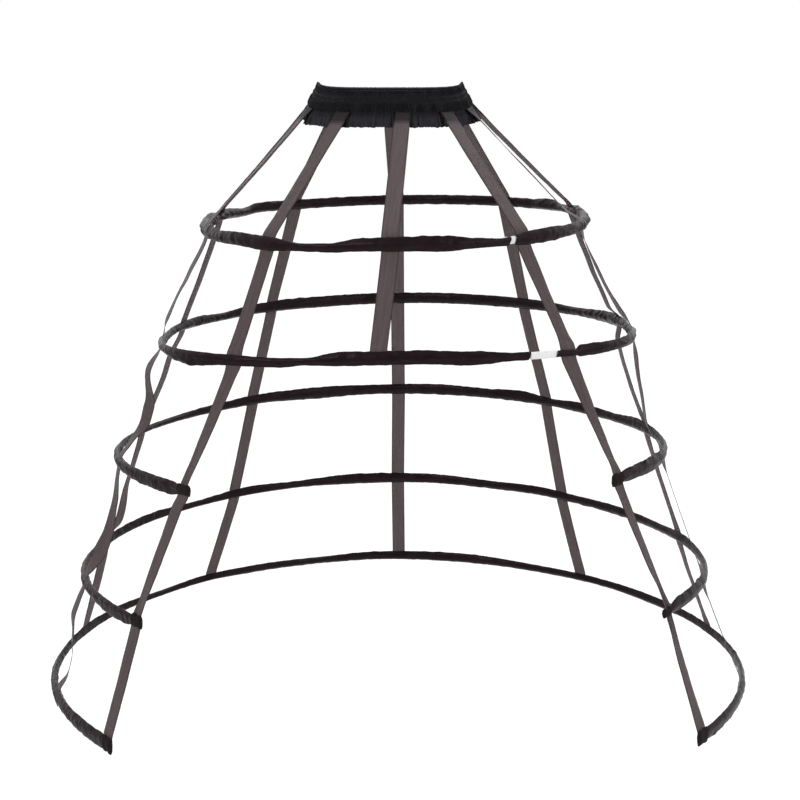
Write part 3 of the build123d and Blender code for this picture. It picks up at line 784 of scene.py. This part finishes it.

# %% [markdown]
# ## Waistband
#
# The band is a black cotton casing drawn in by an elastic. Three rows of stitches cross the
# gathers and pin them down; between the rows each gather puffs out, and above the top row and
# below the lowest one the cloth stands free, as a short ruffle and a longer frill. The frill
# opens into rounded flutes, and its colour is painted a little paler than the band's. That is painted
# light, for the light that gets in behind it. Lawn is a fine smooth weave with little gloss, and
# each gather shades the next; that shade is painted into the colour, as narrow dark creases and
# paler crests. Its threads are 0.2 mm apart, and are drawn at 0.8 mm so that they show. One grid
# runs up the inside, over the top edge, down the outside and round the hem.

# %% Black gathered cotton
band_cloth, tree, shader = new_finish("black gathered cotton lawn", **{
    "Roughness": 0.4, "IOR": 1.5, "Specular IOR Level": 0.1, "Specular Tint": srgb("f0eef8")})
creases = cloth_pattern(tree, (2.4 * mm, 14 * mm))
weave = cloth_pattern(tree, (0.8 * mm, 0.8 * mm), 1.0)
# Painted shade and highlight: the colour is darker in the low creases of the relief, which the same
# noise raises, and paler on its crests.
ramp = two_colours(tree, shader, creases, "050507", "1a191d")
# Painted light: from 82 to 92 mm along the cloth map, where the frill hangs, the colour is mixed up to
# halfway towards a paler 36343a.
frill_painted_light_mask = add_node(tree, "ShaderNodeMapRange",
                      {"From Min": 82 * mm, "From Max": 92 * mm, "To Max": 0.5},
                      {"Value": cloth_reach(tree)["Y"]})
band_colour_with_painted_light = add_node(tree, "ShaderNodeMix", {7: srgb("36343a")},
                {0: frill_painted_light_mask.outputs[0], 6: ramp.outputs["Color"]}, data_type="RGBA")
tree.links.new(band_colour_with_painted_light.outputs[2], shader.inputs["Base Color"])
raise_surface(tree, shader, (creases, 1.0 * mm, 0.7), (weave, 0.12 * mm, 0.2))
print("band nodes:", len(tree.nodes))

# %% Sizes of the band's gathers and flutes
band_columns = 1400
band_rows = 46
inside_rows = 14
inside_spacing = 4 * mm
band_radius = 105  # millimetres
band_wall = 5.4 * mm
frill_wall = 1.2 * mm
edge_wall = 1.6 * mm
near_edge = 1 * mm
stitch_rows = [10 * mm, 16 * mm, 34 * mm]
puff_reach = 4 * mm
puff_depth = 1.5 * mm
top_puff = 0.8
inside_puff = 0.5 * mm
gather_spacing = 3.1 * mm
gather_depth = 1.4 * mm
gather_drift, gather_change = 14 * mm, 9 * mm
gather_fade = 0.7
flute_spacing = 9 * mm
flute_depth = 9 * mm
flute_drift = 23 * mm
flute_roundness, flute_inward = 2.4, 0.3
hem_swing = 1.4 * mm
top_swing, top_ripple = 0.7 * mm, 2 * mm
band_cloth_size = (0.72, 0.11)


def gathers(line, seed):
    """Uneven wave, once to a gather, from -1 to 1."""
    phase = line / gather_spacing + 1.1 * wander(line / gather_drift, seed)
    return math.sin(2 * math.pi * phase) * (0.75 + 0.35 * wander(line / gather_change, seed + 5))


def flutes(line):
    """Rounded outward folds of the frill, uneven in width, from -0.3 to 0.7."""
    place = line / flute_spacing + 0.7 * wander(line / flute_drift, 7.5)
    return math.tanh(flute_roundness * abs(wander(place, 11))) - flute_inward


def band_levels():
    """Drop and side of each row of the grid: up the inside, then down the outside to the hem."""
    hem_drop = band_height + frill_height
    outside_rows = band_rows - inside_rows
    inside = [(hem_drop - inside_spacing * i, -1) for i in range(inside_rows)]
    return inside + [(hem_drop * i / outside_rows, 1) for i in range(outside_rows + 1)]


levels = band_levels()
print("rows of the band's grid:", len(levels))

# %% Build the band
def band_point(column, row):
    """Point of the band's cloth."""
    angle = 360 * (column % band_columns) / band_columns
    drop, side = levels[row]
    drop = max(drop, 0)
    line = math.radians(angle) * band_radius * mm
    held = min(abs(drop - at) for at in stitch_rows)
    puff = min(held / puff_reach, 1)
    if drop < stitch_rows[0]:
        puff *= top_puff
    wave = gathers(line, 2)
    below = max(drop - band_height, 0) / frill_height
    flute = flutes(line)
    out = gather_depth * wave * puff * (1 - gather_fade * below)
    if stitch_rows[0] < drop < band_height:
        out += puff_depth * puff
    out += flute_depth * flute * below
    hem = hem_swing * (wave * 0.3 + flute) * below
    edge = top_swing * wander(line / top_ripple, 30) if drop < near_edge else 0
    if side < 0:
        inner = -band_wall if drop < band_height - near_edge else -frill_wall
        inner = inner if drop > near_edge else -edge_wall
        out = inner + (out if drop >= band_height else inside_puff * wave * puff)
    return band_place(angle, drop + hem - edge, out)


band = cloth_grid("waistband_cloth", band_columns, band_rows, band_cloth_size, band_point)
finish_piece(band, band_cloth, "waistband_cloth", "waistband")
print(band.name, "faces:", len(band.data.polygons))

# %% [markdown]
# ## Sleeves that join a closed hoop
#
# Hoops 1 and 2 are rings. A short white vinyl sleeve is pushed over both ends of the bone, and it
# shows where the casing parts. It is a tube squashed flat, so it is a lens with a wall. Vinyl is
# smooth and half glossy, and handling leaves its white slightly uneven, in patches of 6 mm. The
# sleeves and the bare solids further down have one noise each, for the colour and the relief.

# %% White vinyl sleeve
def plain_finish(name, settings, grains, detail, low, high, depth, strength):
    """Finish from one noise on Object coordinates, with so many grains to a metre."""
    finish, tree, shader = new_finish(name, **settings)
    on_object = add_node(tree, "ShaderNodeTexCoord").outputs["Object"]
    grain = add_node(tree, "ShaderNodeTexNoise", {"Scale": grains, "Detail": detail},
                     {"Vector": on_object}).outputs["Fac"]
    two_colours(tree, shader, grain, low, high)
    raise_surface(tree, shader, (grain, depth, strength))
    return finish


vinyl = plain_finish("white vinyl tubing", {"Roughness": 0.42, "IOR": 1.53},
                     180.0, 3.0, "d2d2d4", "f0f0ef", 0.2 * mm, 0.15)
sleeve_length = 40 * mm
sleeve_half_height, sleeve_half_depth = 5.5, 1.65  # millimetres
sleeve_wall = 0.7 * mm
sleeve_round, sleeve_spacing = 20, 2 * mm
sleeve_girth = 25 * mm
before_casing = 0.4 * mm
bone_offset = -0.375 * mm
for hoop in closed_hoops:
    casing_start = casing_ends(hoop)[0]
    sleeve_end = walk(hoop, casing_start, -before_casing)
    sleeve_start = walk(hoop, sleeve_end, -sleeve_length)
    angles = stations(hoop, sleeve_start, sleeve_end, sleeve_spacing)

    def sleeve_point(column, row):
        """Point of the flat tube."""
        place, along, outward, upward = hoop_frame(hoop, angles[column])
        turn = 2 * math.pi * (row % sleeve_round) / sleeve_round
        rise = math.copysign(abs(math.cos(turn)) ** 0.8, math.cos(turn))  # squarer than an oval
        return (place + outward * (bone_offset + sleeve_half_depth * mm * math.sin(turn))
                - upward * sleeve_half_height * mm * rise)

    sleeve = cloth_grid("sleeve_" + str(hoop + 1), len(angles) - 1, sleeve_round,
                        (sleeve_length, sleeve_girth), sleeve_point)
    wall = sleeve.modifiers.new("wall", "SOLIDIFY")
    wall.thickness = sleeve_wall
    wall.offset = -1
    finish_piece(sleeve, vinyl, "white_sleeve", "bone_sleeve_" + str(hoop + 1))
    print(sleeve.name, "faces:", len(sleeve.data.polygons))

# %% [markdown]
# ## Wraps on the open ends
#
# The free end of a bone would tear the cloth, so a scrap of black cotton is folded over it and
# sewn to the tape. It is a small lumpy bag, drawn tight in its middle by the stitches, and the
# first points are drawn together where the cloth is folded shut. Twill is thick and matt, so it
# creases softly and shows hardly any gloss; its 0.3 mm threads are drawn at 0.7 mm. The six are
# folded by hand, so the table gives each its own length and half height, in millimetres.

# %% Black folded cotton
wrap_cloth, tree, shader = new_finish("black folded cotton twill", **{
    "Roughness": 0.85, "IOR": 1.5, "Specular IOR Level": 0.12, "Sheen Weight": 0.06,
    "Sheen Roughness": 0.4, "Sheen Tint": srgb("c8c0c0")})
creases = cloth_pattern(tree, (5 * mm, 9 * mm), 3.0)
weave = cloth_pattern(tree, (0.7 * mm, 0.7 * mm), 1.0)
# The cotton's own near-black, painted darker in the low creases of the relief and paler on the raised
# cloth: painted shade and highlight.
two_colours(tree, shader, creases, "0c090a", "2a2122")
raise_surface(tree, shader, (creases, 1.0 * mm, 0.6), (weave, 0.15 * mm, 0.4))
print("wrap nodes:", len(tree.nodes))

# %% Build the wraps
wrap_columns = 36
wrap_round = 36
wrap_girth = 56 * mm
wrap_sizes = {(2, "left"): (27, 8.5), (2, "right"): (25, 10), (3, "left"): (23, 10.5),
              (3, "right"): (19, 7.5), (4, "left"): (22, 12.8), (4, "right"): (27, 12.3)}
wrap_depth = 3.5  # millimetres
wrap_offset = 0.4 * mm
crease_depth = 1.9 * mm
end_swing = 1.6 * mm
lumps, shut_height = 0.16, 0.84
flat_half = tape_width / 2 + 1.2 * mm
past_flat = 1 * mm
stitch_at, stitch_reach, stitch_pull = 0.55, 0.16, 0.12
for (hoop, side), (length, half_height) in wrap_sizes.items():
    place, along, outward, upward = hoop_frame(hoop, tape_angles["front_" + side][hoop + 1])
    along = along if side == "right" else -along
    seed = hoop * 5 + len(side)

    def wrap_point(column, row):
        """Point of the folded bag; the row goes round it from its lower edge."""
        share = column / wrap_columns
        turn = 2 * math.pi * (row % wrap_round) / wrap_round
        lower, outer = math.cos(turn), math.sin(turn)
        closing = min(1, share * 7) ** 0.6  # open after the first seventh
        drawn = 1 - stitch_pull * math.exp(-((share - stitch_at) / stitch_reach) ** 2)
        height = half_height * mm * (1 + lumps * wander(share * 3, seed, 3 * lower))
        height *= shut_height + 0.16 * closing
        height *= drawn
        run = share * length * mm - flat_half - past_flat
        run += end_swing * wander(lower * 2.2, seed + 3) * share
        depth = wrap_depth * closing * mm
        crease = crease_depth * closing * abs(wander(share * 3.5 + lower * 1.4, seed, outer * 1.5))
        return (place + along * run + outward * (wrap_offset + (depth + crease) * outer)
                - upward * height * lower)

    wrap = cloth_grid("wrap_" + str(hoop + 1) + "_" + side, wrap_columns, wrap_round,
                      (length * mm, wrap_girth), wrap_point)
    finish_piece(wrap, wrap_cloth, "wrap_cloth", "end_wrap_" + str(hoop + 1) + "_" + side)
    print(wrap.name, "is", length, "mm long")

# %% [markdown]
# ## Parts that stay as solids
#
# The bones, their crimped tips and the waist elastic are hidden in cloth. Their plain solids are
# already the right shape, so they only get a real finish, read from Object coordinates because a
# solid has no cloth map. Hoop steel has a thin woven cover, which is matt and off-white; its
# 0.4 mm threads are drawn at 1.1 mm. A tip is nickel-plated brass, a warm grey metal that handling
# has scuffed in patches of 2 mm. The elastic is knitted, so it is matt and white, with loops of
# 1.4 mm.

# %% Finishes of the hidden parts
hidden_finishes = {
    "hoop_bone": plain_finish("hoop steel in a woven cover", {"Roughness": 0.6, "IOR": 1.5},
                              900.0, 2.0, "b9b7b0", "dedcd4", 0.2 * mm, 0.4),
    "bone_tip": plain_finish("nickel-plated brass", {"Roughness": 0.32, "Metallic": 1.0},
                             500.0, 3.0, "a9a49c", "c9c5be", 0.1 * mm, 0.2),
    "waist_elastic": plain_finish("white knitted elastic", {"Roughness": 0.8, "IOR": 1.5},
                                  700.0, 1.0, "c4c2bc", "e6e4de", 0.3 * mm, 0.5),
}
for name, piece in nodes.items():
    for start, finish in hidden_finishes.items():
        if name.startswith(start):
            piece.data.materials.clear()
            piece.data.materials.append(finish)
print("solids kept:", sum(name.startswith(tuple(hidden_finishes)) for name in nodes))

# %% [markdown]
# ## Floor, light and background
#
# The cage is shot on white. The floor is pale and keeps a soft shadow. The world is white to the
# camera, so that the background is clean without more light on the cloth. Reflections see it
# too, but there it fades behind the camera, as a studio is dim on that side: without that,
# black satin mirrors white from every direction and its folds vanish.

# %% Floor
floor_half = 14
floor_level = -1.04
bm = bmesh.new()
bmesh.ops.create_grid(bm, x_segments=1, y_segments=1, size=floor_half)
for vert in bm.verts:
    vert.co.z = floor_level
floor_mesh = bpy.data.meshes.new("floor")
bm.to_mesh(floor_mesh)
bm.free()
floor = bpy.data.objects.new("floor", floor_mesh)
bpy.context.scene.collection.objects.link(floor)

paper_glow = 1.22
glow_share = 0.75
paper, tree, shader = new_finish("matt white paper", **{
    "Roughness": 0.9, "Base Color": srgb("f4f4f4")})
rays = add_node(tree, "ShaderNodeLightPath")
white = add_node(tree, "ShaderNodeEmission", {"Color": srgb("ffffff"), "Strength": paper_glow})
seen = add_node(tree, "ShaderNodeMath", {1: glow_share}, {0: rays.outputs["Is Camera Ray"]},
                operation="MULTIPLY")
mixed = add_node(tree, "ShaderNodeMixShader",
                 links={0: seen.outputs[0], 1: shader.outputs[0], 2: white.outputs[0]})
out = next(node for node in tree.nodes if node.type == "OUTPUT_MATERIAL")
tree.links.new(mixed.outputs[0], out.inputs["Surface"])
floor_mesh.materials.append(paper)
print("floor at", floor_level, "m")

# %% World
dim_side = 0.18
cloth_light = 0.55
world = bpy.data.worlds.new("studio")
world.use_nodes = True
bpy.context.scene.world = world
tree = world.node_tree
tree.nodes.clear()
rays = add_node(tree, "ShaderNodeLightPath").outputs
shown = rays["Is Camera Ray"]
for kind in ("Is Glossy Ray", "Is Transmission Ray"):
    shown = add_node(tree, "ShaderNodeMath", links={0: shown, 1: rays[kind]},
                     operation="MAXIMUM").outputs[0]
direction = add_node(tree, "ShaderNodeTexCoord")
direction = add_node(tree, "ShaderNodeSeparateXYZ", links={0: direction.outputs["Generated"]})
backdrop = add_node(tree, "ShaderNodeMapRange",
                    {"From Min": -0.6, "From Max": 0.3, "To Min": dim_side},
                    {"Value": direction.outputs["Y"]})
backdrop = add_node(tree, "ShaderNodeMath",
                    links={0: backdrop.outputs[0], 1: rays["Is Camera Ray"]}, operation="MAXIMUM")
strength = add_node(tree, "ShaderNodeMix", {2: cloth_light}, {0: shown, 3: backdrop.outputs[0]})
background = add_node(tree, "ShaderNodeBackground", {"Color": srgb("ffffff")},
                      {"Strength": strength.outputs[0]})
add_node(tree, "ShaderNodeOutputWorld", links={"Surface": background.outputs[0]})
print("world nodes:", len(tree.nodes))

# %% Lamps
cage_middle = Vector((0, 0, -0.5))
lamps = {  # place, size in metres, watts
    "key lamp": ((-1.8, -2.6, 1.9), 2.2, 55),
    "fill lamp": ((2.4, -1.8, 0.9), 2.4, 30),
    "top lamp": ((0.2, 1.6, 2.4), 2.6, 40),
}
for name, (place, size, watts) in lamps.items():
    lamp_data = bpy.data.lights.new(name, "AREA")
    lamp_data.size = size
    lamp_data.energy = watts
    lamp = bpy.data.objects.new(name, lamp_data)
    lamp.location = place
    aim = cage_middle - lamp.location
    lamp.rotation_euler = aim.to_track_quat("-Z", "Y").to_euler()
    bpy.context.scene.collection.objects.link(lamp)
bpy.context.scene.view_settings.view_transform = "Standard"
print("lamps:", len(lamps))
